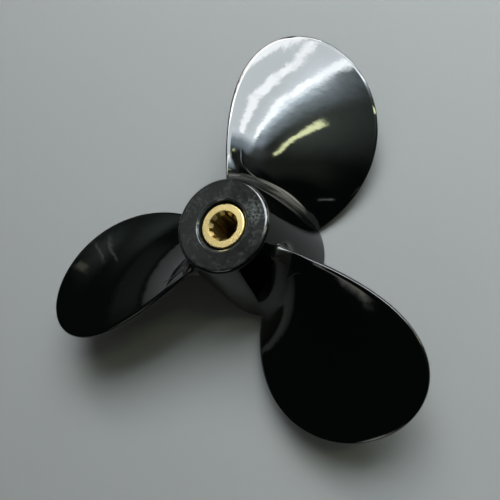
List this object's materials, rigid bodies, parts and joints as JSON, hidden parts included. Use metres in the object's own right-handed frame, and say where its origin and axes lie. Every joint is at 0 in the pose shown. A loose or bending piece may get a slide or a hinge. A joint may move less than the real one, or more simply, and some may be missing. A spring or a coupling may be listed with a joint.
{
  "type": "outboard motor propeller",
  "caption": "Right-hand screw propeller for a small outboard motor: painted hub-and-blade casting with a rubber bush and a splined brass sleeve.",
  "frame": {"origin": "on the shaft axis, in the plane of the hub's forward rim, on which the propeller stands", "axes": "+Z along the shaft axis, aft, towards the propeller nut; +Y along one blade's generator line"},
  "size_m": [0.1713, 0.1643, 0.0523],
  "materials": {
    "black_paint": "gloss",
    "black_rubber": "matte",
    "brass": "satin"
  },
  "bodies": {
    "root": {"hub_and_blades_casting": "black_paint", "rubber_bush": "black_rubber", "splined_sleeve": "brass"}
  },
  "joints": []
}
